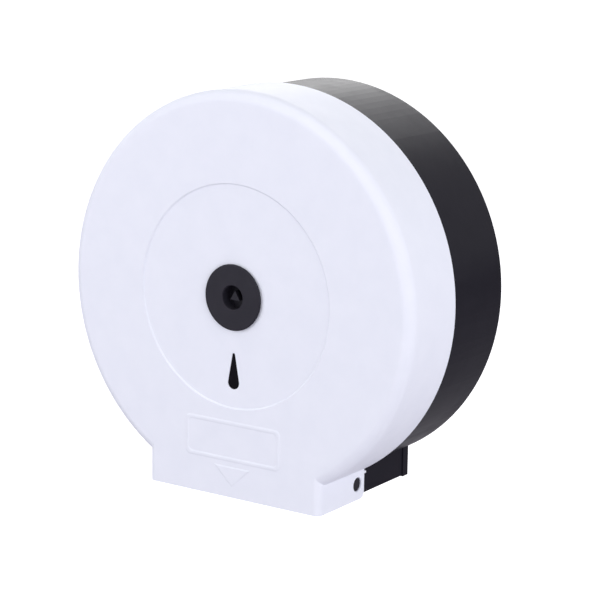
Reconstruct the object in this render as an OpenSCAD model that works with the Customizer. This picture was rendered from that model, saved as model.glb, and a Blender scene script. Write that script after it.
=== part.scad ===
// Wall-hung dispenser for one jumbo toilet roll, with a drop-down cover and a key lock.
// X is to the right, Y points into the wall and Z is up. All sizes are in millimetres.
// The origin is the point where the roll's axis meets the wall.
// Each piece is drawn lying on its back: x to the right, y up, z out from the wall.
// stand() then turns it upright.

/* [Rear housing] */
// Distance from the wall to the seam between housing and cover
base_depth = 64; // [58:0.5:75]
// Wall thickness of the housing
base_wall = 2.5; // [2:0.1:3.5]
// Thickness of the back plate
back_t = 3; // [2.5:0.1:5]
// Height of the ribs on the back plate
rib_h = 4; // [2:0.5:5]
// Thickness of those ribs
rib_t = 2; // [1.5:0.1:3]
// Number of straight ribs
rib_count = 8; // [4:1:12]
// Radius of the round rib that they run to
ring_rib_r = 95; // [92:1:115]
// Depth of the thicker foot of the chin at the wall
foot_t = 6.5; // [5:0.5:10]
// How far that foot stands proud of the chin
foot_proud = 0.7; // [0.3:0.1:1.5]

/* [Wall screws] */
// Distance between the wall holes, side to side
hole_span_x = 120; // [100:1:130]
// Distance between the wall holes, top to bottom
hole_span_y = 100; // [90:1:120]
// Radius of a wall hole
hole_r = 2.75; // [2:0.05:4]
// Radius of the raised pad around a wall hole
pad_r = 8; // [6:0.5:10]
// Height of that pad over the back plate
pad_h = 3; // [1:0.5:4]

/* [Front cover] */
// Outer radius of the cover at its rim
cover_r = 135; // [128:0.5:145]
// Depth of the cover, from rim to face
cover_depth = 54; // [50:0.5:70]
// Thickness of the cover's round wall
cover_wall = 2.2; // [1.8:0.1:3]
// Thickness of the cover's face
face_t = 2.6; // [2.2:0.1:4]
// How much smaller the cover's radius is at the face
cover_draft = 0.3; // [0.1:0.1:4]
// Rounding between face and wall
edge_r = 8; // [5:0.5:12]
// Radius of the sunk round field on the face
field_r = 74.3; // [72:0.1:90]
// How deep that field is sunk
field_sink = 0.8; // [0.3:0.1:1.2]
// Width of the slope around the field
field_slope = 1; // [0.5:0.1:2]
// Gap between the housing's wall and the cover that laps over it
rim_gap = 0.4; // [0.3:0.05:0.6]
// How far the housing's wall reaches into the cover
rim_lap = 2.5; // [1.5:0.1:3]
// How far below the axis the lap ends on each side
lap_low = 50; // [30:1:55]

/* [Chin] */
// Width of the cover's chin
chin_w = 138.2; // [130:0.1:145]
// How far the chin ends below the lowest point of the round cover
chin_below = 0.6; // [0.4:0.1:6]
// Rounding of the chin's front corners
chin_corner_r = 5; // [4:0.5:8]
// Rounding of the lower rear corner of a hinge ear
ear_corner_r = 4.5; // [2:0.5:6]
// Length of the small nib on the rear edge of an ear
nib_l = 2.2; // [1:0.1:3]
// Height of the nib over the hinge axis
nib_up = 6.6; // [5:0.1:8]
// Width of the nib
nib_w = 1.6; // [1:0.1:2.5]

/* [Label and arrow] */
// Width of the blank label frame
label_w = 76.5; // [50:0.5:90]
// Height of the label frame
label_h = 28; // [20:0.5:32]
// Height of the frame's middle over the chin's lower edge
label_up = 38.4; // [38:0.1:42]
// Width of the frame's rib
label_rib = 3.2; // [2:0.1:4]
// How far the frame and the arrow stand out of the face
relief = 0.5; // [0.3:0.1:0.8]
// Outer corner rounding of the frame
label_corner = 4; // [3.5:0.5:6]
// Width of the arrow
arrow_w = 30; // [20:1:36]
// Height of the arrow
arrow_h = 14; // [10:0.5:15]
// Height of the arrow's tip over the chin's lower edge
arrow_up = 7.2; // [3:0.1:8]

/* [Sight window] */
// Distance from the axis down to the window's tip
drop_down = 37.3; // [34:0.1:42]
// Height of the window
drop_len = 24.4; // [20:0.1:26]
// Radius of its narrow end
drop_tip_r = 1.1; // [0.8:0.1:2]
// Radius of its round end
drop_base_r = 4.5; // [3.5:0.1:6]
// How far the lens lies below the sunk field
lens_sunk = 0.4; // [0.2:0.1:0.8]
// Gap around the lens in the window
lens_gap = 0.12; // [0.05:0.01:0.25]
// Thickness of the lens plate behind the face
lens_t = 1.8; // [1.2:0.1:3]
// Width of the lens plate around the window
lens_border = 4; // [3:0.5:6]

/* [Hinge] */
// Radius of a hinge pin
pin_r = 4.7; // [3.5:0.1:5.5]
// Height of the hinge axis over the chin's lower edge
pin_up = 10.6; // [10.2:0.1:12.5]
// Distance of the hinge axis in front of the seam
pin_fwd = 8; // [7.6:0.1:12]
// How far a pin's end lies below the ear's outer face
pin_sunk = 1.2; // [0.4:0.1:1.6]
// Running clearance of a pin in its ear
pin_clear = 0.06; // [0.02:0.01:0.1]
// Radius of the boss inside an ear
ear_boss_r = 7.2; // [6.4:0.1:7.4]
// Height of that boss
ear_boss_h = 3.2; // [2.2:0.1:4]
// Gap between the boss and the housing's arm
arm_gap = 0.3; // [0.2:0.05:0.5]
// Thickness of a pin's head inside the arm
pin_head_t = 1.5; // [1:0.1:2]
// How much wider than the pin its head is
pin_head_rim = 1.8; // [1:0.1:2.5]
// Angle at which the cover stops when it is dropped open
open_angle = 100; // [90:1:110]
// Width of the two stop lugs in each hinge
stop_w = 2.8; // [2:0.1:3]

/* [Lock] */
// Radius of the round bezel
bezel_r = 22; // [20:0.1:26]
// Thickness of the bezel's plate
bezel_t = 2; // [1.5:0.1:3]
// Rounding of the bezel's edge
bezel_edge = 0.8; // [0.4:0.1:1.2]
// How far the bezel's edge tapers in towards the cover
bezel_taper = 1.3; // [0:0.1:2]
// Radius of the key well
well_r = 8; // [7:0.1:9]
// Depth of the key well
well_depth = 8.2; // [6:0.1:9]
// Side of the triangular key post
key_side = 7.4; // [6:0.1:9]
// How far the post's end lies below the bezel
key_sunk = 3; // [1:0.1:4]
// Radius of the plug behind the well
plug_r = 9.5; // [9.4:0.05:10.5]
// Length of that plug
plug_len = 8.5; // [7:0.1:10]
// Radius of the plug's shaft
shaft_r = 5.5; // [5:0.1:6]
// Radius of the plug's neck
neck_r = 3.4; // [3.2:0.1:3.8]
// Side of the square end that carries the latch bar
square_w = 4.2; // [3.4:0.1:4.4]
// Outer radius of the bezel's tube
tube_r = 14.8; // [14.4:0.1:15.5]
// Gap between that tube and the hole in the cover
tube_gap = 0.2; // [0.1:0.05:0.4]
// Outer radius of the ring nut
nut_r = 19; // [17.5:0.1:21]
// Thickness of the ring nut
nut_t = 5; // [3:0.1:6]
// Number of spanner notches in the ring nut
nut_notches = 8; // [4:1:10]
// Width of a spanner notch
notch_w = 3; // [2:0.1:4]
// Depth of a spanner notch
notch_d = 1.5; // [1:0.1:2]
// Thickness of the plate that keeps the plug in
retainer_t = 2; // [1.6:0.1:3]
// Room for the spring washer behind the plug
spring_room = 1.4; // [1:0.1:2]
// Thickness of both dished washers
dish_t = 0.5; // [0.3:0.05:0.7]

/* [Latch] */
// Length of the latch bar
bar_len = 22; // [20:0.1:23]
// Width of the latch bar
bar_w = 5.4; // [4:0.1:6]
// Thickness of the latch bar
bar_t = 3; // [2:0.1:4]
// Radius of the bar's round middle
bar_hub_r = 4.4; // [4:0.1:4.8]
// Gap between the bar and the striker in front of it
bar_gap = 1; // [0.5:0.1:2]
// Gap between the lock and the striker
lock_gap = 2.5; // [1.5:0.1:5]
// Clearance of the bar in the striker's slot, side to side
slot_gap_x = 1; // [0.5:0.1:1.2]
// Clearance of the bar in the striker's slot, top and bottom
slot_gap_y = 2.1; // [1.8:0.1:2.6]

/* [Spindle and hub] */
// Outer radius of the fixed post
post_r = 18; // [17.5:0.1:19]
// Bore of the post
post_bore_r = 12.5; // [12:0.1:12.8]
// Radius of the post's flange
flange_r = 30.5; // [29:0.1:34]
// Thickness of the post's flange
flange_t = 6; // [5:0.1:8]
// Thickness of the cap, which is the striker
cap_t = 3; // [2.6:0.1:5]
// Radius of the cap
cap_r = 22; // [21:0.1:24]
// Running clearance of the hub on the post
run_gap = 0.06; // [0.02:0.01:0.1]
// Outer radius of the hub, which carries the roll's core
hub_r = 27; // [26:0.1:35]
// Thickness of the hub's outer tube
hub_wall = 2; // [1.6:0.1:3]
// Thickness of the hub's inner tube
bearing_wall = 2.2; // [1.6:0.1:3]
// Radius of the hub's rear flange
hub_flange_r = 40; // [37:0.5:60]
// Thickness of that flange
hub_flange_t = 3; // [2:0.1:5]
// Number of ribs inside the hub
hub_ribs = 6; // [3:1:8]
// Thickness of those ribs
hub_rib_t = 1.6; // [1:0.1:2.5]
// Length of the front cap's plug inside the hub
hub_plug_l = 3; // [2:0.1:5]
// Thickness of the front cap's rim, which is rounded by as much
hub_lip = 1.5; // [1:0.1:2]
// Thickness of the thrust washer
washer_t = 1; // [0.6:0.1:2]
// Outer radius of the thrust washer
washer_r = 26; // [22:0.1:28]
// Gap between the thrust washer and the hub
end_gap = 0.3; // [0.2:0.05:0.5]
// Room for the brake washer in front of the hub
brake_room = 1.5; // [1.1:0.1:2.5]

/* [Cutters] */
// Thickness of a toothed strip
cutter_t = 0.8; // [0.5:0.1:1.5]
// Height of a strip with its teeth
cutter_h = 10; // [8:0.5:12]
// Distance between teeth
tooth_pitch = 3.5; // [2.5:0.1:5]
// Height of a tooth
tooth_h = 2.5; // [1.5:0.1:3]
// Distance of the teeth from the chin's lower edge
tooth_up = 0.5; // [0.2:0.1:2]
// Distance of a strip from the seam and from the foot
cutter_inset = 1.5; // [1:0.1:4]

/* [Screws] */
// Shank radius of the spindle screws
big_shank_r = 1.75; // [1.5:0.05:2]
// Head radius of the spindle screws
big_head_r = 3.5; // [3:0.1:4]
// Shank radius of the small screws
small_shank_r = 1.1; // [0.9:0.05:1.3]
// Head radius of the small screws
small_head_r = 2.1; // [1.8:0.1:2.4]
// How far a countersunk head lies below its surface
head_sunk = 0.15; // [0.05:0.05:0.3]
// Length of the cap screws
cap_screw_l = 9; // [6:0.5:14]
// Length of the retainer screws
retainer_screw_l = 7; // [4:0.5:9]
// Length of the tongue screw's shank
tongue_screw_l = 8; // [5:0.5:12]
// Thickness of the tongue screw's head
tongue_head_t = 1.8; // [1.2:0.1:2.4]
// Empty depth of a hole beyond its screw's point
hole_spare = 1; // [0.5:0.1:2]

/* [Hidden] */
$fn = 96;

white = [0.90, 0.91, 0.96];
charcoal = [0.17, 0.165, 0.185];
black = [0.10, 0.10, 0.11];
smoke = [0.06, 0.06, 0.07, 0.9];
grey = [0.55, 0.56, 0.58];
steel = [0.75, 0.76, 0.78];

eps = 0.1;         // overlap of joined shapes and overrun of cuts
fit = 0.03;        // clearance of a fastener or fixed pin in its hole
slip = 0.2;        // loose clearance around washers and caps
head_gap = 0.1;    // clearance around a countersunk head
side_inset = 0.02; // how far the window's straight sides run inside its round ends
bezel_chamfer = 0.4;
peg_r = 1.5;       // melted pegs that hold the lens and the cutters
peg_head_r = 2.4;
peg_head_t = 0.8;

// The round shell, out from the wall
front_z = base_depth + cover_depth;
field_z = front_z - field_sink;
inner_z = front_z - face_t;
cover_front_r = cover_r - cover_draft;
lap_draft = cover_draft * rim_lap / (cover_depth - edge_r);
base_r = cover_r - cover_wall - lap_draft - rim_gap;
room_r = base_r - base_wall;
chin_root = 60;    // the chin's walls start inside the round shell
inner_edge_r = edge_r - cover_wall;

// The chin and its hinge
chin_half = chin_w / 2;
chin_drop = cover_r + chin_below;
ear_in = chin_half - cover_wall;
arm_out = ear_in - ear_boss_h - arm_gap;
arm_in = arm_out - base_wall;
pin_y = pin_up - chin_drop;
pin_z = base_depth + pin_fwd;
arm_r = pin_up;
stop_r0 = ear_boss_r + 0.6;
stop_h = arm_r - stop_r0;
stop_play = 0.5;   // angle left between the stops at the open angle
stop_apart = 2 * atan(stop_w / 2 / stop_r0) + stop_play;
nib_y = pin_y + nib_up;

// The lock and the striker, stacked back from the face
bezel_z = field_z + bezel_t;
plug_z = bezel_z - well_depth;
key_z = bezel_z - key_sunk;
plug_top = plug_z - head_gap;
plug_back = plug_top - plug_len;
tube_z = plug_back - spring_room;
retainer_z = tube_z - retainer_t;
shaft_z = retainer_z - lock_gap / 4;
cap_front = retainer_z - lock_gap;
post_end = cap_front - cap_t;
bar_front = post_end - bar_gap;
bar_back = bar_front - bar_t;
plug_bore_r = plug_r + pin_clear;
retainer_screw_x = (plug_bore_r + tube_r) / 2;

// The hub on its post
post_z = back_t;
washer_z = post_z + flange_t;
hub_z = washer_z + washer_t + end_gap;
hub_end = post_end - brake_room;
bearing_r = post_r + run_gap + bearing_wall;
cap_screw_y = (post_bore_r + post_r) / 2;
spindle_screw_r = (post_r + flange_r) / 2;
spindle_screw_l = washer_z - hole_spare;

// The window and the cutters
drop_tip_y = -drop_down - drop_tip_r;
drop_base_y = -drop_down - drop_len + drop_base_r;
lens_top = -drop_down + 2 * lens_border;
lens_low = -drop_down - drop_len - 2 * lens_border;
cutter_z0 = foot_t + cutter_inset;
tooth_count = floor((base_depth - cutter_inset - cutter_z0) / tooth_pitch);
cutter_z1 = cutter_z0 + tooth_count * tooth_pitch;
tooth_tip = -chin_drop + tooth_up;
cutter_top = tooth_tip + cutter_h;
cutter_pegs = [cutter_z0 + 2 * tooth_pitch, cutter_z1 - 2 * tooth_pitch];
cutter_peg_y = cutter_top - (cutter_h - tooth_h) / 2;

module stand() {
    rotate([90, 0, 0]) children();
}

// Both sides of the part, from the shape on the right
module both_sides() {
    children();
    mirror([1, 0, 0]) children();
}

// A flat shape given as [y, z], thickened by t from x0 to the right
module across(x0, t) {
    translate([x0, 0, 0]) rotate([90, 0, 90]) linear_extrude(t) children();
}

// A flat shape given as [x, z], carried down from y0 to y1
module down(y0, y1) {
    translate([0, y0, 0]) rotate([90, 0, 0]) linear_extrude(y0 - y1) children();
}

// A round bar along x at the hinge axis
module at_hinge(x0, x1, r) {
    translate([x0, pin_y, pin_z]) rotate([0, 90, 0]) cylinder(r = r, h = x1 - x0);
}

module rounded_rect(w, h, r) {
    square([w - 2 * r, h], center = true);
    square([w, h - 2 * r], center = true);
    for (sx = [-1, 1], sy = [-1, 1])
        translate([sx * (w / 2 - r), sy * (h / 2 - r)]) circle(r);
}

// Two circles on one upright line and the straight sides between them
module teardrop(grow) {
    r0 = drop_tip_r + grow;
    r1 = drop_base_r + grow;
    slant = asin((r1 - r0) / (drop_tip_y - drop_base_y));
    translate([0, drop_tip_y]) circle(r0);
    translate([0, drop_base_y]) circle(r1);
    polygon([
        for (end = [[-1, r0, drop_tip_y], [1, r0, drop_tip_y], [1, r1, drop_base_y], [-1, r1, drop_base_y]])
            [0, end[2]] + (end[1] - side_inset) * [end[0] * cos(slant), sin(slant)]
    ]);
}

// Solid drum with a drafted wall and a rounded front edge
module drum(rim_r, front_r, z0, z1, edge, under) {
    rotate_extrude() {
        polygon([
            [0, z0 - under], [rim_r, z0 - under], [rim_r, z0], [front_r, z1 - edge], [0, z1 - edge]
        ]);
        square([front_r - edge, z1]);
        translate([front_r - edge, z1 - edge]) intersection() {
            circle(edge);
            square(edge);
        }
    }
}

// Outline of the cover's chin as seen from above
module chin_plan(half, z0, z1, r) {
    translate([-half, z0]) square([2 * half, z1 - r - z0]);
    translate([-half + r, z0]) square([2 * (half - r), z1 - z0]);
    for (side = [-1, 1]) translate([side * (half - r), z1 - r]) circle(r);
}

// Countersunk screw: its head's face at z = 0, its point at z = len
module sunk_screw(head, shank, len) {
    head_h = head - shank;
    slot_w = shank / 2;
    difference() {
        union() {
            cylinder(r1 = head, r2 = shank, h = head_h);
            cylinder(r = shank, h = len);
        }
        for (a = [0, 90]) rotate(a)
            translate([-head / 2, -slot_w / 2, -eps]) cube([head, slot_w, head_h / 2 + eps]);
    }
}

// The hole that such a screw sits in, from the surface at z = 0
module sunk_hole(head, shank, len) {
    head_h = head - shank;
    translate([0, 0, -eps]) cylinder(r = head + head_gap, h = head_sunk + eps);
    translate([0, 0, head_sunk]) cylinder(r1 = head + head_gap, r2 = shank + head_gap, h = head_h);
    cylinder(r = shank + fit, h = len);
}

module at_spindle_screws() {
    for (a = [90, 210, 330]) rotate(a) translate([spindle_screw_r, 0, 0]) children();
}

module at_wall_holes() {
    for (sx = [-1, 1], sy = [-1, 1])
        translate([sx * hole_span_x / 2, sy * hole_span_y / 2, 0]) children();
}

// ---- rear housing ----

module housing_shell() {
    difference() {
        union() {
            cylinder(r = base_r, h = base_depth);
            down(-chin_root, -chin_drop) translate([-arm_out, 0]) square([2 * arm_out, base_depth]);
            down(-chin_root, -chin_drop - foot_proud)
                translate([-arm_out - foot_proud, 0]) square([2 * (arm_out + foot_proud), foot_t]);
        }
        translate([0, 0, back_t]) cylinder(r = room_r, h = base_depth);
        down(-chin_root, -chin_drop - foot_proud - eps)
            translate([-arm_in, back_t]) square([2 * arm_in, base_depth]);
    }
}

// The top of the round wall, which reaches into the cover
module housing_lap() {
    intersection() {
        translate([0, 0, base_depth - eps]) difference() {
            cylinder(r = base_r, h = rim_lap + eps);
            translate([0, 0, -eps]) cylinder(r = room_r, h = rim_lap + 3 * eps);
        }
        translate([-cover_r, -lap_low, 0]) cube([2 * cover_r, cover_r + lap_low, front_z]);
    }
}

// Arm that carries the right hinge pin, with the lug that the open cover stops against
module hinge_arm() {
    across(arm_in, base_wall) {
        translate([pin_y - arm_r, base_depth - eps]) square([2 * arm_r, pin_fwd + eps]);
        translate([pin_y, pin_z]) circle(arm_r);
    }
    stop_lug(arm_out - eps, 90 - open_angle - stop_apart);
}

// A lug at the hinge, at an angle that counts from straight ahead towards straight up
module stop_lug(x0, angle) {
    translate([x0, pin_y, pin_z]) rotate([-angle, 0, 0])
        translate([0, -stop_w / 2, stop_r0]) cube([ear_boss_h - arm_gap + eps, stop_w, stop_h]);
}

module back_ribs() {
    seat_r = flange_r + slip;
    translate([0, 0, back_t - eps]) {
        difference() {
            cylinder(r = seat_r + rib_t, h = rib_h + eps);
            translate([0, 0, -eps]) cylinder(r = seat_r, h = rib_h + 3 * eps);
        }
        difference() {
            cylinder(r = ring_rib_r + rib_t / 2, h = rib_h + eps);
            translate([0, 0, -eps]) cylinder(r = ring_rib_r - rib_t / 2, h = rib_h + 3 * eps);
        }
        for (i = [0 : rib_count - 1]) rotate((i + 0.5) * 360 / rib_count)
            translate([seat_r + rib_t / 2, -rib_t / 2, 0])
                cube([ring_rib_r - seat_r - rib_t / 2, rib_t, rib_h + eps]);
    }
}

module cutter_peg(z) {
    translate([arm_in + eps, cutter_peg_y, z]) rotate([0, -90, 0]) {
        cylinder(r = peg_r, h = cutter_t + eps);
        translate([0, 0, cutter_t + eps]) cylinder(r = peg_head_r, h = peg_head_t);
    }
}

module rear_housing() {
    color(charcoal) stand() difference() {
        union() {
            housing_shell();
            housing_lap();
            back_ribs();
            at_wall_holes() translate([0, 0, back_t - eps]) cylinder(r = pad_r, h = pad_h + eps);
            both_sides() {
                hinge_arm();
                for (z = cutter_pegs) cutter_peg(z);
            }
        }
        at_wall_holes() translate([0, 0, -eps]) cylinder(r = hole_r, h = back_t + rib_h + pad_h);
        at_spindle_screws() sunk_hole(big_head_r, big_shank_r, back_t + eps);
        both_sides() at_hinge(arm_in - eps, arm_out + eps, pin_r + fit);
    }
}

module hinge_pin() {
    at_hinge(arm_in - pin_head_t, chin_half - pin_sunk, pin_r);
    at_hinge(arm_in - pin_head_t, arm_in, pin_r + pin_head_rim);
}

module hinge_pin_right() {
    color(black) stand() hinge_pin();
}

module hinge_pin_left() {
    color(black) stand() mirror([1, 0, 0]) hinge_pin();
}

// Strip with a row of teeth along its lower edge
module cutter() {
    across(arm_in - cutter_t, cutter_t) difference() {
        polygon(concat(
            [[cutter_top, cutter_z1], [cutter_top, cutter_z0]],
            [for (i = [0 : tooth_count - 1], part = [0, 0.5])
                [tooth_tip + (part == 0 ? tooth_h : 0), cutter_z0 + (i + part) * tooth_pitch]],
            [[tooth_tip + tooth_h, cutter_z1]]
        ));
        for (z = cutter_pegs) translate([cutter_peg_y, z]) circle(peg_r + fit);
    }
}

module cutter_right() {
    color(steel) stand() cutter();
}

module cutter_left() {
    color(steel) stand() mirror([1, 0, 0]) cutter();
}

// ---- spindle and hub ----

module spindle_post() {
    color(grey) stand() difference() {
        translate([0, 0, post_z]) union() {
            cylinder(r = flange_r, h = flange_t);
            cylinder(r = post_r, h = post_end - post_z);
        }
        translate([0, 0, post_z - eps]) cylinder(r = post_bore_r, h = post_end - post_z + 2 * eps);
        at_spindle_screws() cylinder(r = big_shank_r + fit, h = spindle_screw_l + hole_spare / 2);
        for (side = [-1, 1]) translate([0, side * cap_screw_y, cap_front - cap_screw_l - hole_spare])
            cylinder(r = small_shank_r + fit, h = cap_screw_l + hole_spare);
    }
}

module spindle_screws() {
    color(steel) stand() at_spindle_screws() translate([0, 0, head_sunk])
        sunk_screw(big_head_r, big_shank_r, spindle_screw_l - head_sunk);
}

module spindle_cap() {
    color(black) stand() difference() {
        translate([0, 0, post_end]) rotate_extrude() polygon([
            [0, 0], [cap_r, 0], [cap_r, cap_t - 1], [cap_r - 1, cap_t], [0, cap_t]
        ]);
        translate([0, 0, post_end - eps]) linear_extrude(cap_t + 2 * eps) {
            rounded_rect(bar_len + 2 * slot_gap_x, bar_w + 2 * slot_gap_y, 1.5);
            circle(bar_hub_r + slot_gap_y);
        }
        for (side = [-1, 1]) translate([0, side * cap_screw_y, cap_front]) mirror([0, 0, 1])
            sunk_hole(small_head_r, small_shank_r, cap_t + eps);
    }
}

module cap_screws() {
    color(steel) stand() for (side = [-1, 1])
        translate([0, side * cap_screw_y, cap_front - head_sunk]) mirror([0, 0, 1])
            sunk_screw(small_head_r, small_shank_r, cap_screw_l - head_sunk);
}

module thrust_washer() {
    color(white) stand() translate([0, 0, washer_z]) difference() {
        cylinder(r = washer_r, h = washer_t);
        translate([0, 0, -eps]) cylinder(r = post_r + slip, h = washer_t + 2 * eps);
    }
}

// Dished ring from its low outer edge at z0 to its high inner edge at z1
module dished(r0, r1, z0, z1) {
    rotate_extrude() polygon([[r0, z1 - dish_t], [r1, z0], [r1, z0 + dish_t], [r0, z1]]);
}

module brake_washer() {
    color(steel) stand() dished(post_r + slip, cap_r - 0.5, hub_end + end_gap, post_end);
}

module roll_hub() {
    color(grey) stand() {
        rotate_extrude() {
            translate([post_r + run_gap, hub_z]) square([bearing_wall, hub_end - hub_z]);
            translate([bearing_r - eps, hub_z]) square([hub_flange_r - bearing_r + eps, hub_flange_t]);
            translate([hub_r - hub_wall, hub_z]) square([hub_wall, hub_end - hub_lip - hub_z]);
        }
        for (i = [0 : hub_ribs - 1]) rotate(i * 360 / hub_ribs)
            translate([bearing_r - eps, -hub_rib_t / 2, hub_z]) cube([
                hub_r - hub_wall - bearing_r + 2 * eps, hub_rib_t, hub_end - hub_plug_l - end_gap - hub_z
            ]);
    }
}

// Ring that closes the gap between the hub's two tubes
module hub_front_cap() {
    ring_in = bearing_r + slip;
    ring_out = hub_r - hub_wall - slip;
    color(black) stand() rotate_extrude() {
        translate([ring_in, hub_end - hub_plug_l]) square([ring_out - ring_in, hub_plug_l]);
        translate([ring_in, hub_end - hub_lip]) square([hub_r - hub_lip - ring_in, hub_lip]);
        translate([hub_r - hub_lip, hub_end - hub_lip]) intersection() {
            circle(hub_lip);
            square(hub_lip);
        }
    }
}

// ---- front cover ----

module cover_shell() {
    difference() {
        union() {
            drum(cover_r, cover_front_r, base_depth, front_z, edge_r, 0);
            down(-chin_root, -chin_drop) chin_plan(chin_half, base_depth, front_z, chin_corner_r);
        }
        drum(cover_r - cover_wall, cover_front_r - cover_wall, base_depth, inner_z, inner_edge_r, eps);
        down(-chin_root, -chin_drop - eps)
            chin_plan(ear_in, base_depth - eps, inner_z, chin_corner_r - cover_wall);
        across(-chin_half - eps, chin_w + 2 * eps) translate([-chin_drop, base_depth]) difference() {
            translate([-eps, -eps]) square(ear_corner_r + eps);
            translate([ear_corner_r, ear_corner_r]) circle(ear_corner_r);
        }
    }
}

// What the right ear carries: the hinge boss, the stop lug and the nib at its rear edge
module ear_details() {
    at_hinge(ear_in - ear_boss_h, ear_in + eps, ear_boss_r);
    stop_lug(ear_in - ear_boss_h + arm_gap, 90);
    translate([ear_in, nib_y - nib_w / 2, base_depth - nib_l]) cube([cover_wall, nib_w, nib_l + eps]);
}

module face_relief() {
    translate([0, 0, front_z - eps]) linear_extrude(relief + eps) {
        translate([0, label_up - chin_drop]) difference() {
            rounded_rect(label_w, label_h, label_corner);
            rounded_rect(label_w - 2 * label_rib, label_h - 2 * label_rib, label_corner - label_rib / 2);
        }
        translate([0, arrow_up - chin_drop])
            polygon([[0, 0], [arrow_w / 2, arrow_h], [-arrow_w / 2, arrow_h]]);
    }
}

// Pegs above and below the window, melted over the lens plate
module at_lens_pegs() {
    for (y = [lens_top - lens_border, lens_low + lens_border]) translate([0, y, 0]) children();
}

module front_cover() {
    color(white) stand() difference() {
        union() {
            cover_shell();
            face_relief();
            both_sides() ear_details();
            at_lens_pegs() {
                translate([0, 0, inner_z - lens_t]) cylinder(r = peg_r, h = lens_t + eps);
                translate([0, 0, inner_z - lens_t - peg_head_t]) cylinder(r = peg_head_r, h = peg_head_t);
            }
        }
        translate([0, 0, field_z]) cylinder(
            r1 = field_r - field_slope / 2, r2 = field_r + 1.5 * field_slope, h = 2 * field_sink);
        translate([0, 0, inner_z - nut_t]) cylinder(r = tube_r + tube_gap, h = front_z);
        translate([0, 0, inner_z - eps]) linear_extrude(front_z) teardrop(0);
        both_sides() at_hinge(ear_in - ear_boss_h - eps, chin_half + eps, pin_r + pin_clear);
    }
}

module window_lens() {
    color(smoke) stand() {
        translate([0, 0, inner_z - eps]) linear_extrude(field_z - lens_sunk - inner_z + eps)
            teardrop(-lens_gap);
        translate([0, 0, inner_z - lens_t]) linear_extrude(lens_t) difference() {
            translate([0, (lens_top + lens_low) / 2])
                rounded_rect(2 * (drop_base_r + lens_border), lens_top - lens_low, lens_border);
            at_lens_pegs() circle(peg_r + fit);
        }
    }
}

// ---- lock ----

module lock_bezel() {
    color(charcoal) stand() difference() {
        rotate_extrude() difference() {
            union() {
                polygon([
                    [0, field_z], [bezel_r - bezel_taper, field_z],
                    [bezel_r, bezel_z - bezel_edge], [0, bezel_z - bezel_edge]
                ]);
                translate([0, field_z]) square([bezel_r - bezel_edge, bezel_t]);
                translate([bezel_r - bezel_edge, bezel_z - bezel_edge]) circle(bezel_edge);
                translate([0, tube_z]) square([tube_r, field_z - tube_z + eps]);
            }
            translate([-eps, plug_z - eps]) square([well_r + eps, well_depth + 2 * eps]);
            polygon([
                [0, bezel_z - bezel_chamfer], [well_r, bezel_z - bezel_chamfer],
                [well_r + bezel_chamfer + eps, bezel_z + eps], [0, bezel_z + eps]
            ]);
            translate([-eps, tube_z - eps]) square([plug_bore_r + eps, plug_z - tube_z + eps]);
        }
        for (side = [-1, 1]) translate([side * retainer_screw_x, 0, tube_z - eps])
            cylinder(r = small_shank_r + fit, h = retainer_screw_l - retainer_t + hole_spare + eps);
    }
}

module lock_nut() {
    color(black) stand() translate([0, 0, inner_z - nut_t]) difference() {
        cylinder(r = nut_r, h = nut_t);
        translate([0, 0, -eps]) cylinder(r = tube_r + fit, h = nut_t + 2 * eps);
        for (i = [0 : nut_notches - 1]) rotate(i * 360 / nut_notches)
            translate([nut_r - notch_d, -notch_w / 2, -eps]) cube([2 * notch_d, notch_w, nut_t + 2 * eps]);
    }
}

module lock_spring() {
    color(steel) stand() dished(shaft_r + slip, plug_r - slip, tube_z, plug_back - end_gap / 2);
}

module lock_retainer() {
    color(grey) stand() translate([0, 0, retainer_z]) difference() {
        cylinder(r = tube_r, h = retainer_t);
        translate([0, 0, -eps]) cylinder(r = shaft_r + pin_clear, h = retainer_t + 2 * eps);
        for (side = [-1, 1]) translate([side * retainer_screw_x, 0, 0])
            sunk_hole(small_head_r, small_shank_r, retainer_t + eps);
    }
}

module retainer_screws() {
    color(steel) stand() for (side = [-1, 1])
        translate([side * retainer_screw_x, 0, retainer_z + head_sunk])
            sunk_screw(small_head_r, small_shank_r, retainer_screw_l - head_sunk);
}

module lock_plug() {
    color(black) stand() difference() {
        union() {
            translate([0, 0, plug_back]) cylinder(r = plug_r, h = plug_len);
            translate([0, 0, plug_top - eps]) linear_extrude(key_z - plug_top + eps)
                polygon([for (a = [90, 210, 330]) key_side / sqrt(3) * [cos(a), sin(a)]]);
            translate([0, 0, shaft_z]) cylinder(r = shaft_r, h = plug_back - shaft_z + eps);
            translate([0, 0, bar_front]) cylinder(r = neck_r, h = shaft_z - bar_front + eps);
            translate([0, 0, bar_back]) linear_extrude(bar_t + eps) square(square_w, center = true);
        }
        translate([0, 0, bar_back - eps])
            cylinder(r = small_shank_r + fit, h = tongue_screw_l + hole_spare + eps);
    }
}

module lock_tongue() {
    color(steel) stand() translate([0, 0, bar_back]) linear_extrude(bar_t) difference() {
        union() {
            rounded_rect(bar_len, bar_w, 1);
            circle(bar_hub_r);
        }
        square(square_w + 2 * fit, center = true);
    }
}

module tongue_screw() {
    color(steel) stand() translate([0, 0, bar_back]) {
        cylinder(r = small_shank_r, h = tongue_screw_l);
        difference() {
            translate([0, 0, -tongue_head_t]) cylinder(r = square_w * 0.85, h = tongue_head_t);
            for (a = [0, 90]) rotate(a) translate([-small_head_r, -0.4, -tongue_head_t - eps])
                cube([2 * small_head_r, 0.8, tongue_head_t / 2]);
        }
    }
}

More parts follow.
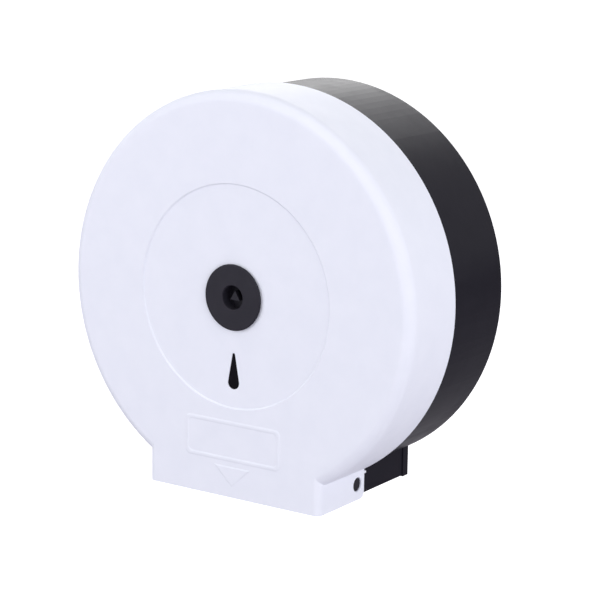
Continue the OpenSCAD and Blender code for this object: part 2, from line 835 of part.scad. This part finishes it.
rear_housing();
spindle_post();
spindle_screws();
spindle_cap();
cap_screws();
thrust_washer();
brake_washer();
roll_hub();
hub_front_cap();
cutter_left();
cutter_right();
hinge_pin_left();
hinge_pin_right();
front_cover();
window_lens();
lock_bezel();
lock_nut();
lock_spring();
lock_retainer();
retainer_screws();
lock_plug();
lock_tongue();
tongue_screw();
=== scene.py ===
from math import cos, hypot, pi, radians, sin

import bmesh
import bpy
from mathutils import Matrix, Vector


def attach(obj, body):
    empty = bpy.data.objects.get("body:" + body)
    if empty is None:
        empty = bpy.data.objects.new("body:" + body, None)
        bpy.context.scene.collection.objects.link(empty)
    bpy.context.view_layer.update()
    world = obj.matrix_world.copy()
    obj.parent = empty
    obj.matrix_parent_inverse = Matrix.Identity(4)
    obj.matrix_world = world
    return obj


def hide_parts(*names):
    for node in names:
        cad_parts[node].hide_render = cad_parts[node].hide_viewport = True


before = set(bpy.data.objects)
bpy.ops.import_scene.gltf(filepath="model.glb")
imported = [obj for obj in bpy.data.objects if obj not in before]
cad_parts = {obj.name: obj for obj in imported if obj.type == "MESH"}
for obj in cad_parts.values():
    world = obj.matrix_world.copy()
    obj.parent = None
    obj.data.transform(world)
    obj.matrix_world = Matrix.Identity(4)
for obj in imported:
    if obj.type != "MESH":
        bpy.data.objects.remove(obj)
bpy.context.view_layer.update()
mm = 0.001

photoView = {
    "azimuth": 34.374, "elevation": 11.884, "roll": 0.769,  # degrees
    "distance": 1.44748, "target": (0, -0.058, 0),
    "lens": 129.50, "shiftX": 0.0237, "shiftY": -0.0292,
}


def placeCamera(view):
    a, e, r = (radians(view[key]) for key in ("azimuth", "elevation", "roll"))
    back = Vector((sin(a) * cos(e), -cos(a) * cos(e), sin(e)))
    right = Vector((0, 0, 1)).cross(back).normalized()
    up = back.cross(right)
    data = bpy.data.cameras.new("photoCamera")
    data.sensor_width, data.lens = 36, view["lens"]
    data.shift_x, data.shift_y = view["shiftX"], view["shiftY"]
    data.clip_start, data.clip_end = 0.01, 60
    camera = bpy.data.objects.new("photoCamera", data)
    turned = Matrix((right * cos(r) + up * sin(r), up * cos(r) - right * sin(r), back)).transposed()
    place = Vector(view["target"]) + back * view["distance"]
    camera.matrix_world = Matrix.Translation(place) @ turned.to_4x4()
    bpy.context.scene.collection.objects.link(camera)
    bpy.context.scene.camera = camera


placeCamera(photoView)
bpy.context.scene.view_settings.view_transform = "Standard"
print("camera placed")


def addNode(tree, kind, given={}, **settings):
    node = tree.nodes.new(kind)
    for key, value in settings.items():
        setattr(node, key, value)
    for key, value in given.items():
        if isinstance(value, bpy.types.NodeSocket):
            tree.links.new(value, node.inputs[key])
        else:
            node.inputs[key].default_value = value
    return node


def maths(tree, operation, a, b=0.0, clamp=False):
    node = addNode(tree, "ShaderNodeMath", {0: a, 1: b}, operation=operation, use_clamp=clamp)
    return node.outputs[0]


def ramp(tree, value, low, high, toLow=0.0, toHigh=1.0):
    return addNode(tree, "ShaderNodeMapRange", {
        "Value": value, "From Min": low, "From Max": high, "To Min": toLow, "To Max": toHigh,
    }).outputs[0]


def noise(tree, vector, scale, detail=2.0, rough=0.5):
    return addNode(tree, "ShaderNodeTexNoise", {
        "Vector": vector, "Scale": scale, "Detail": detail, "Roughness": rough,
    }).outputs[0]


def mixColour(tree, factor, a, b, blend="MIX"):
    node = addNode(tree, "ShaderNodeMix", data_type="RGBA", blend_type=blend)
    for socket, value in ((node.inputs[0], factor), (node.inputs[6], a), (node.inputs[7], b)):
        if isinstance(value, bpy.types.NodeSocket):
            tree.links.new(value, socket)
        else:
            socket.default_value = value
    return node.outputs[2]


def newGroup(name, takes, gives):
    tree = bpy.data.node_groups.new(name, "ShaderNodeTree")
    for label, value in takes:
        kind = "NodeSocketVector" if value is None else "NodeSocketFloat"
        socket = tree.interface.new_socket(label, in_out="INPUT", socket_type=kind)
        if value is not None:
            socket.default_value = value
    for label in gives:
        tree.interface.new_socket(label, in_out="OUTPUT", socket_type="NodeSocketFloat")
    return tree, tree.nodes.new("NodeGroupInput").outputs, tree.nodes.new("NodeGroupOutput")


def giveOut(tree, end, **values):
    for label, value in values.items():
        tree.links.new(value, end.inputs[label])


slotShadeReach = 1.3  # mm; slots narrower than this get painted shade
slotShadeColour = (0.030, 0.028, 0.025, 1)
dustColour = (0.46, 0.44, 0.42, 1)


def buildMouldedSkin():
    # fine tool grain, slow waves of the moulding and a faint mottle; heights in mm, scales per metre
    tree, take, end = newGroup("mouldedSkin", [
        ("Vector", None), ("Grain Scale", 2600.0), ("Grain Height", 0.006), ("Wave Height", 0.03),
    ], ["Height", "Mottle"])
    pits = addNode(tree, "ShaderNodeTexVoronoi", {
        "Vector": take["Vector"], "Scale": take["Grain Scale"], "Smoothness": 0.6,
    }, feature="SMOOTH_F1").outputs[0]
    specks = noise(tree, take["Vector"], maths(tree, "MULTIPLY", take["Grain Scale"], 1.9), 2.0)
    grain = maths(tree, "MULTIPLY", maths(tree, "ADD", pits, specks), 0.5)
    waves = noise(tree, take["Vector"], 21.0, 1.0)
    height = maths(tree, "ADD", maths(tree, "MULTIPLY", grain, take["Grain Height"]),
                   maths(tree, "MULTIPLY", waves, take["Wave Height"]))
    mottle = noise(tree, take["Vector"], 58.0, 4.0, 0.6)
    giveOut(tree, end, Height=height, Mottle=mottle)
    return tree


def buildHandling():
    # smudges and hair scratches that only change the gloss
    tree, take, end = newGroup("handling", [("Vector", None), ("Amount", 1.0)], ["Smudge", "Scratch"])
    broad = ramp(tree, noise(tree, take["Vector"], 34.0, 5.0, 0.65), 0.45, 0.72)
    smudge = maths(tree, "MULTIPLY", broad, take["Amount"])
    lines = addNode(tree, "ShaderNodeTexVoronoi", {
        "Vector": addNode(tree, "ShaderNodeMapping", {
            "Vector": take["Vector"], "Rotation": (0.5, 0.3, 0.9), "Scale": (26.0, 340.0, 300.0),
        }).outputs[0], "Scale": 1.0,
    }, feature="DISTANCE_TO_EDGE").outputs[0]
    patches = ramp(tree, noise(tree, take["Vector"], 15.0, 2.0), 0.55, 0.7)
    thin = ramp(tree, lines, 0.0, 0.02, 1.0, 0.0)
    scratch = maths(tree, "MULTIPLY", maths(tree, "MULTIPLY", thin, patches), take["Amount"])
    giveOut(tree, end, Smudge=smudge, Scratch=scratch)
    return tree


def buildSettledDust():
    # only on faces that look up, in soft patches
    tree, take, end = newGroup("settledDust", [("Vector", None), ("Amount", 0.1)], ["Dust"])
    normal = addNode(tree, "ShaderNodeNewGeometry").outputs["Normal"]
    upward = ramp(tree, addNode(tree, "ShaderNodeSeparateXYZ", {0: normal}).outputs["Z"], 0.55, 1.0)
    patches = ramp(tree, noise(tree, take["Vector"], 90.0, 6.0, 0.7), 0.35, 0.75)
    dust = maths(tree, "MULTIPLY", maths(tree, "MULTIPLY", upward, patches), take["Amount"])
    giveOut(tree, end, Dust=dust)
    return tree


def buildRolledMetal():
    # drawn-out lines of rolled or brushed sheet, plating patches and painted shade in slots, darker where ambient
    # occlusion finds a near wall; heights in mm
    tree, take, end = newGroup("rolledMetal", [
        ("Vector", None), ("Along", 40.0), ("Across", 2400.0), ("Line Height", 0.004),
    ], ["Height", "Lines", "Patches", "Grime"])
    stretch = addNode(tree, "ShaderNodeCombineXYZ", {
        0: take["Along"], 1: take["Across"], 2: take["Across"],
    }).outputs[0]
    drawn = addNode(tree, "ShaderNodeVectorMath", {0: take["Vector"], 1: stretch}, operation="MULTIPLY")
    lines = noise(tree, drawn.outputs[0], 1.0, 3.0, 0.6)
    cells = addNode(tree, "ShaderNodeTexVoronoi", {"Vector": take["Vector"], "Scale": 420.0}).outputs["Distance"]
    blotches = maths(tree, "ADD", cells, noise(tree, take["Vector"], 150.0, 4.0))
    patches = maths(tree, "MULTIPLY", blotches, 0.6)
    # painted shade: ambient occlusion marks slots and crevices, whose colour is then darkened
    hidden = addNode(tree, "ShaderNodeAmbientOcclusion", {"Distance": slotShadeReach * mm}, samples=8, only_local=True)
    slotShade = ramp(tree, hidden.outputs["AO"], 0.35, 0.85, 0.92, 0.0)
    height = maths(tree, "MULTIPLY", lines, take["Line Height"])
    giveOut(tree, end, Height=height, Lines=lines, Patches=patches, Grime=slotShade)
    return tree


skinGroup, handlingGroup = buildMouldedSkin(), buildHandling()
dustGroup, metalGroup = buildSettledDust(), buildRolledMetal()
print("surface groups built")


def placeGroup(tree, group, **given):
    node = addNode(tree, "ShaderNodeGroup", node_tree=group)
    for key, value in given.items():
        # grainScale goes to the socket Grain Scale
        label = "".join(" " + letter if letter.isupper() else letter for letter in key).title()
        if isinstance(value, bpy.types.NodeSocket):
            tree.links.new(value, node.inputs[label])
        else:
            node.inputs[label].default_value = value
    return node.outputs


def startMaterial(name):
    material = bpy.data.materials.new(name)
    material.use_nodes = True
    tree = material.node_tree
    shader = tree.nodes["Principled BSDF"]
    place = addNode(tree, "ShaderNodeTexCoord").outputs["Object"]
    return material, tree, shader, place


def plasticMaterial(name, look):
    material, tree, shader, place = startMaterial(name)
    skin = placeGroup(tree, skinGroup, vector=place, grainScale=look["grainScale"],
                      grainHeight=look["grainHeight"], waveHeight=look["waveHeight"])
    touch = placeGroup(tree, handlingGroup, vector=place, amount=look["handling"])
    dust = placeGroup(tree, dustGroup, vector=place, amount=look["dust"])
    tone = ramp(tree, skin["Mottle"], 0.3, 0.7)
    colour = mixColour(tree, tone, (*look["colour"], 1), (*look["second"], 1))
    colour = mixColour(tree, dust["Dust"], colour, dustColour)
    tree.links.new(colour, shader.inputs["Base Color"])
    rough = maths(tree, "ADD", look["roughness"], maths(tree, "MULTIPLY", skin["Mottle"], 0.04))
    rough = maths(tree, "ADD", rough, maths(tree, "MULTIPLY", touch["Smudge"], look["smudge"]))
    rough = maths(tree, "ADD", rough, maths(tree, "MULTIPLY", dust["Dust"], 0.5))
    rough = maths(tree, "ADD", rough, maths(tree, "MULTIPLY", touch["Scratch"], 0.12), True)
    tree.links.new(rough, shader.inputs["Roughness"])
    height = maths(tree, "SUBTRACT", skin["Height"], maths(tree, "MULTIPLY", touch["Scratch"], 0.004))
    bump = addNode(tree, "ShaderNodeBump", {"Height": height, "Distance": mm, "Strength": 1.0})
    tree.links.new(bump.outputs[0], shader.inputs["Normal"])
    shader.inputs["IOR"].default_value = 1.5
    shader.inputs["Specular IOR Level"].default_value = look["specular"]
    shader.inputs["Specular Tint"].default_value = (*look.get("glossTint", (1, 1, 1)), 1)
    return material


def metalMaterial(name, look):
    material, tree, shader, place = startMaterial(name)
    drawn = placeGroup(tree, metalGroup, vector=place, along=look["along"], across=look["across"],
                       lineHeight=look["lineHeight"])
    touch = placeGroup(tree, handlingGroup, vector=place, amount=1.0)
    colour = mixColour(tree, drawn["Patches"], (*look["colour"], 1), (*look["second"], 1))
    colour = mixColour(tree, maths(tree, "MULTIPLY", drawn["Lines"], 0.3), colour, (*look["shade"], 1))
    # painted shade: slots and crevices are mixed towards a near-black colour
    colour = mixColour(tree, drawn["Grime"], colour, slotShadeColour)
    tree.links.new(colour, shader.inputs["Base Color"])
    rough = maths(tree, "ADD", look["roughness"], maths(tree, "MULTIPLY", drawn["Lines"], 0.16))
    rough = maths(tree, "ADD", rough, maths(tree, "MULTIPLY", drawn["Grime"], 0.4))
    rough = maths(tree, "ADD", rough, maths(tree, "MULTIPLY", touch["Smudge"], 0.08), True)
    tree.links.new(rough, shader.inputs["Roughness"])
    bump = addNode(tree, "ShaderNodeBump", {"Height": drawn["Height"], "Distance": mm, "Strength": 1.0})
    tree.links.new(bump.outputs[0], shader.inputs["Normal"])
    shader.inputs["Metallic"].default_value = 1.0
    return material


finishes = {
    "coverWhite": plasticMaterial("coverWhite", {
        "colour": (0.800, 0.818, 0.918), "second": (0.776, 0.796, 0.898), "roughness": 0.42, "specular": 0.12,
        "grainScale": 2300.0, "grainHeight": 0.003, "waveHeight": 0.05, "handling": 0.8, "smudge": 0.06,
        "dust": 0.03,
    }),
    "housingCharcoal": plasticMaterial("housingCharcoal", {
        "colour": (0.0112, 0.0105, 0.0158), "second": (0.0132, 0.0124, 0.0182), "roughness": 0.28,
        "specular": 0.045, "glossTint": (0.84, 0.78, 1.0), "grainScale": 1500.0, "grainHeight": 0.014,
        "waveHeight": 0.03, "handling": 0.8, "smudge": 0.08, "dust": 0.02,
    }),
    "lockCharcoal": plasticMaterial("lockCharcoal", {
        "colour": (0.0162, 0.0152, 0.0232), "second": (0.0200, 0.0188, 0.0276), "roughness": 0.44,
        "specular": 0.15, "grainScale": 1900.0, "grainHeight": 0.010, "waveHeight": 0.01, "handling": 1.0,
        "smudge": 0.10, "dust": 0.02,
    }),
    "pinBlack": plasticMaterial("pinBlack", {
        "colour": (0.0082, 0.0077, 0.0112), "second": (0.0116, 0.0109, 0.0152), "roughness": 0.38,
        "specular": 0.22, "glossTint": (0.88, 0.82, 1.0), "grainScale": 2400.0, "grainHeight": 0.006,
        "waveHeight": 0.01, "handling": 0.7, "smudge": 0.10, "dust": 0.02,
    }),
    "hubGrey": plasticMaterial("hubGrey", {
        "colour": (0.24, 0.24, 0.25), "second": (0.275, 0.275, 0.285), "roughness": 0.44,
        "specular": 0.4, "grainScale": 1500.0, "grainHeight": 0.012, "waveHeight": 0.03, "handling": 1.0,
        "smudge": 0.08, "dust": 0.03,
    }),
    "washerWhite": plasticMaterial("washerWhite", {
        "colour": (0.74, 0.735, 0.70), "second": (0.79, 0.785, 0.75), "roughness": 0.34,
        "specular": 0.45, "grainScale": 2600.0, "grainHeight": 0.006, "waveHeight": 0.01, "handling": 1.0,
        "smudge": 0.10, "dust": 0.0,
    }),
    "lensSmoke": plasticMaterial("lensSmoke", {
        "colour": (0.0028, 0.0026, 0.0040), "second": (0.0038, 0.0035, 0.0052), "roughness": 0.14,
        "specular": 0.09, "glossTint": (0.88, 0.82, 1.0), "grainScale": 2600.0, "grainHeight": 0.0,
        "waveHeight": 0.01, "handling": 0.8, "smudge": 0.10, "dust": 0.0,
    }),
    "zincSteel": metalMaterial("zincSteel", {
        "colour": (0.60, 0.61, 0.62), "second": (0.50, 0.52, 0.55), "shade": (0.36, 0.36, 0.35),
        "roughness": 0.26, "along": 300.0, "across": 900.0, "lineHeight": 0.003,
    }),
    "bladeSteel": metalMaterial("bladeSteel", {
        "colour": (0.60, 0.60, 0.59), "second": (0.52, 0.52, 0.52), "shade": (0.34, 0.34, 0.34),
        "roughness": 0.20, "along": 1400.0, "across": 60.0, "lineHeight": 0.004,
    }),
}
print("finishes mixed")


def copyNode(name):
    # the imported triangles, joined up
    shape = bmesh.new()
    shape.from_mesh(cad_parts[name].data)
    bmesh.ops.remove_doubles(shape, verts=shape.verts, dist=0.002 * mm)
    return shape


def soften(shape, width, segments=2, where=None, angle=28):
    # rounds the edges sharper than angle; where takes a corner in mm and says whether it counts
    chosen = []
    for edge in shape.edges:
        if not edge.is_manifold or edge.calc_face_angle() < radians(angle):
            continue
        if where is None or all(where(*(vert.co / mm)) for vert in edge.verts):
            chosen.append(edge)
    if chosen:
        bmesh.ops.bevel(shape, geom=chosen, offset=width * mm, offset_type="OFFSET", affect="EDGES",
                        segments=segments, profile=0.5, material=-1, clamp_overlap=True, loop_slide=False)


def slopeRelief(shape, raised, ground, slope, height, where):
    # gives a raised flat soft sides and a new height; raised and ground are the depths it starts from, in mm
    tops = [face for face in shape.faces
            if all(abs(v.co.y / mm - raised) < 0.02 and where(*(v.co / mm)) for v in face.verts)]
    inset = bmesh.ops.inset_region(shape, faces=tops, thickness=slope * mm, depth=0.0,
                                   use_boundary=True, use_even_offset=True)
    inner = {vert for face in tops for vert in face.verts}
    edge = {vert for face in inset["faces"] for vert in face.verts} - inner
    for vert in edge:
        vert.co.y = ground * mm
    for vert in inner:
        vert.co.y = (ground - height) * mm
    bmesh.ops.remove_doubles(shape, verts=shape.verts, dist=0.004 * mm)


def bringIn(shape, name, body, finish, nodes=(), smoothAngle=38):
    mesh = bpy.data.meshes.new(name)
    shape.to_mesh(mesh)
    shape.free()
    piece = bpy.data.objects.new(name, mesh)
    bpy.context.scene.collection.objects.link(piece)
    mesh.materials.append(finishes[finish])
    mesh.shade_smooth()
    mesh.set_sharp_from_angle(angle=radians(smoothAngle))
    weights = piece.modifiers.new("evenNormals", "WEIGHTED_NORMAL")
    weights.keep_sharp, weights.weight = True, 80
    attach(piece, body)
    if nodes:
        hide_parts(*nodes)
    return piece


def softCopy(node, body, finish, width, segments=2):
    shape = copyNode(node)
    soften(shape, width, segments)
    return bringIn(shape, node + "Soft", body, finish, [node])


coverShell = {
    "face": -118.0, "relief": 0.5, "height": 0.32, "slope": 1.0,  # mm; label frame and arrow rise softly
    "ringOuter": 75.3, "ringSlope": 2.2,  # the sunk field's edge runs out this much wider
    "reliefEdge": 0.35, "rimEdge": 0.7, "windowEdge": 0.3, "earEdge": 0.6, "otherEdge": 0.25,
    "rimDepth": -64.0, "earSide": 66.0, "hinge": (-72.0, -125.0), "earReach": 5.6,
    "rimEnd": (74.6, -64.0, -112.5), "rimEndReach": 1.2, "rimInner": 134.5, "rimOuter": 135.5,
    "labelSide": 42, "labelLow": -130, "labelHigh": -80,
    "windowSide": 9, "windowLow": -66, "windowHigh": -33, "windowDepth": -114,
}


def makeCover(look):
    shape = copyNode("front_cover")
    nearHinge = lambda y, z: (y - look["hinge"][0]) ** 2 + (z - look["hinge"][1]) ** 2 < look["earReach"] ** 2
    inLabel = lambda x, y, z: abs(x) < look["labelSide"] and look["labelLow"] < z < look["labelHigh"]
    slopeRelief(shape, look["face"] - look["relief"], look["face"], look["slope"], look["height"], inLabel)
    for vert in shape.verts:
        x, y, z = vert.co / mm
        if abs(y - look["face"]) < 0.02 and abs(hypot(x, z) - look["ringOuter"]) < 0.06:
            wider = 1 + look["ringSlope"] / look["ringOuter"]
            vert.co.x, vert.co.z = x * wider * mm, z * wider * mm
    soften(shape, look["reliefEdge"], 3, lambda x, y, z: y < look["face"] + 0.1 and inLabel(x, y, z), 12)
    soften(shape, look["rimEdge"], 3, lambda x, y, z: abs(y - look["rimDepth"]) < 0.05
           and z > look["rimEnd"][2] - 1 and look["rimInner"] < hypot(x, z) < look["rimOuter"])
    soften(shape, look["earEdge"], 3, lambda x, y, z: abs(x) > look["earSide"] and nearHinge(y, z))
    soften(shape, look["windowEdge"], 3, lambda x, y, z: abs(x) < look["windowSide"]
           and look["windowLow"] < z < look["windowHigh"] and y < look["windowDepth"])
    corner = look["rimEnd"]  # the rim's wider rounding ends here, and no second one is laid over it
    soften(shape, look["otherEdge"], 2,
           lambda x, y, z: hypot(hypot(abs(x) - corner[0], y - corner[1]), z - corner[2]) > look["rimEndReach"])
    return bringIn(shape, "coverShell", "cover", "coverWhite", ["front_cover"])


makeCover(coverShell)
softCopy("rear_housing", "rear", "housingCharcoal", 0.3, 2)
softCopy("lock_bezel", "cover", "lockCharcoal", 0.25, 2)
softCopy("lock_plug", "lock", "lockCharcoal", 0.2, 2)
softCopy("window_lens", "cover", "lensSmoke", 0.2, 2)
softCopy("hinge_pin_left", "rear", "pinBlack", 0.4, 3)
softCopy("hinge_pin_right", "rear", "pinBlack", 0.4, 3)
softCopy("lock_nut", "cover", "pinBlack", 0.3, 2)
softCopy("lock_retainer", "cover", "zincSteel", 0.1, 2)
softCopy("lock_spring", "cover", "zincSteel", 0.1, 1)
softCopy("lock_tongue", "lock", "zincSteel", 0.2, 2)
softCopy("spindle_post", "rear", "hubGrey", 0.3, 2)
softCopy("spindle_cap", "rear", "pinBlack", 0.3, 2)
softCopy("thrust_washer", "rear", "washerWhite", 0.15, 1)
softCopy("brake_washer", "rear", "zincSteel", 0.15, 1)
softCopy("cutter_left", "rear", "bladeSteel", 0.06, 1)
softCopy("cutter_right", "rear", "bladeSteel", 0.06, 1)
softCopy("roll_hub", "hub", "hubGrey", 0.3, 2)
softCopy("hub_front_cap", "hub", "pinBlack", 0.3, 2)

softCopy("cap_screws", "rear", "zincSteel", 0.07, 1)
softCopy("retainer_screws", "cover", "zincSteel", 0.07, 1)
softCopy("tongue_screw", "lock", "zincSteel", 0.12, 2)
softCopy("spindle_screws", "rear", "zincSteel", 0.12, 1)

ejectorMarks = {
    "radius": 4.0, "proud": 0.3, "sunk": 0.3, "edge": 0.08, "sides": 28,
    # a ring is its reach from the middle, its count and its first angle; faces is the way the marks look
    "cover": {"depth": -115.4, "faces": 1, "rings": ((108.0, 8, 22.5), (84.0, 4, 45.0))},
    "housing": {"depth": -3.0, "faces": -1, "rings": ((112.0, 8, 0.0), (75.0, 4, 0.0))},
}


def makeEjectorMarks(look, side, body, finish):
    # the small flat discs that a mould's ejector pins leave on an inner wall
    place = look[side]
    depth = place["depth"] + place["faces"] * (look["proud"] - look["sunk"]) / 2
    shape = bmesh.new()
    for reach, count, first in place["rings"]:
        for step in range(count):
            turn = radians(first + 360 * step / count)
            middle = Matrix.Translation(Vector((reach * cos(turn), depth, reach * sin(turn))) * mm)
            bmesh.ops.create_cone(shape, cap_ends=True, segments=look["sides"], radius1=look["radius"] * mm,
                                  radius2=look["radius"] * mm, depth=(look["proud"] + look["sunk"]) * mm,
                                  matrix=middle @ Matrix.Rotation(pi / 2, 4, "X"))
    soften(shape, look["edge"], 2)
    return bringIn(shape, side + "EjectorMarks", body, finish)


makeEjectorMarks(ejectorMarks, "cover", "cover", "coverWhite")
makeEjectorMarks(ejectorMarks, "housing", "rear", "housingCharcoal")
print("pieces made")

studio = {
    "floorHeight": -0.42, "floorSize": 40.0, "floorColour": (0.500, 0.480, 0.530),
    "floorSeen": 0.90, "floorMirrored": 0.05,  # glow that the camera and a gloss add to the lit floor
    "around": 0.44,  # light from all round
    "aim": (0, -0.06, 0),  # the lamps point here
    "lamps": {  # place, size in metres and power in watts
        "topSoftbox": ((-0.30, -0.62, 1.40), (1.6, 1.4), 6.8),
        "frontLeft": ((-1.10, -1.60, 0.45), (1.4, 1.4), 16.4),
        "frontRight": ((1.50, -1.00, 0.35), (1.2, 1.2), 10.5),
        "sideFill": ((1.70, -0.20, 0.10), (1.0, 1.0), 8.5),
        "backRim": ((-0.80, 1.90, 1.00), (1.9, 1.2), 17.0),
    },
}


def buildStudio(look):
    scene = bpy.context.scene
    world = bpy.data.worlds.new("studioRoom")
    world.use_nodes = True
    scene.world = world
    tree = world.node_tree
    tree.nodes.clear()
    path = addNode(tree, "ShaderNodeLightPath").outputs
    seen = maths(tree, "MAXIMUM", maths(tree, "MAXIMUM", path["Is Camera Ray"], path["Is Glossy Ray"]),
                 path["Is Transmission Ray"])
    strength = ramp(tree, seen, 0.0, 1.0, look["around"], 1.0)
    light = addNode(tree, "ShaderNodeBackground", {"Color": (1, 1, 1, 1), "Strength": strength})
    end = addNode(tree, "ShaderNodeOutputWorld", {"Surface": light.outputs[0]})
    end.is_active_output = True

    material = bpy.data.materials.new("paleFloor")
    material.use_nodes = True
    tree = material.node_tree
    tree.nodes.clear()
    path = addNode(tree, "ShaderNodeLightPath").outputs
    seen = maths(tree, "MULTIPLY", path["Is Camera Ray"], look["floorSeen"])
    mirrored = maths(tree, "MAXIMUM", path["Is Glossy Ray"], path["Is Transmission Ray"])
    mirrored = maths(tree, "MULTIPLY", mirrored, look["floorMirrored"])
    matt = addNode(tree, "ShaderNodeBsdfDiffuse", {"Color": (*look["floorColour"], 1)})
    glow = addNode(tree, "ShaderNodeEmission", {
        "Color": (1, 1, 1, 1), "Strength": maths(tree, "ADD", seen, mirrored),
    })
    both = addNode(tree, "ShaderNodeAddShader", {0: matt.outputs[0], 1: glow.outputs[0]})
    addNode(tree, "ShaderNodeOutputMaterial", {"Surface": both.outputs[0]})
    shape = bmesh.new()
    bmesh.ops.create_grid(shape, x_segments=1, y_segments=1, size=look["floorSize"] / 2)
    bmesh.ops.translate(shape, verts=shape.verts, vec=(0, 0, look["floorHeight"]))
    mesh = bpy.data.meshes.new("paleFloor")
    shape.to_mesh(mesh)
    shape.free()
    mesh.materials.append(material)
    floor = bpy.data.objects.new("paleFloor", mesh)
    scene.collection.objects.link(floor)

    for name, (place, size, power) in look["lamps"].items():
        data = bpy.data.lights.new(name, "AREA")
        data.shape, data.size, data.size_y, data.energy = "RECTANGLE", size[0], size[1], power
        lamp = bpy.data.objects.new(name, data)
        lamp.location = place
        toAim = Vector(look["aim"]) - Vector(place)
        lamp.rotation_euler = toAim.to_track_quat("-Z", "Y").to_euler()
        scene.collection.objects.link(lamp)


buildStudio(studio)
print("studio lit")
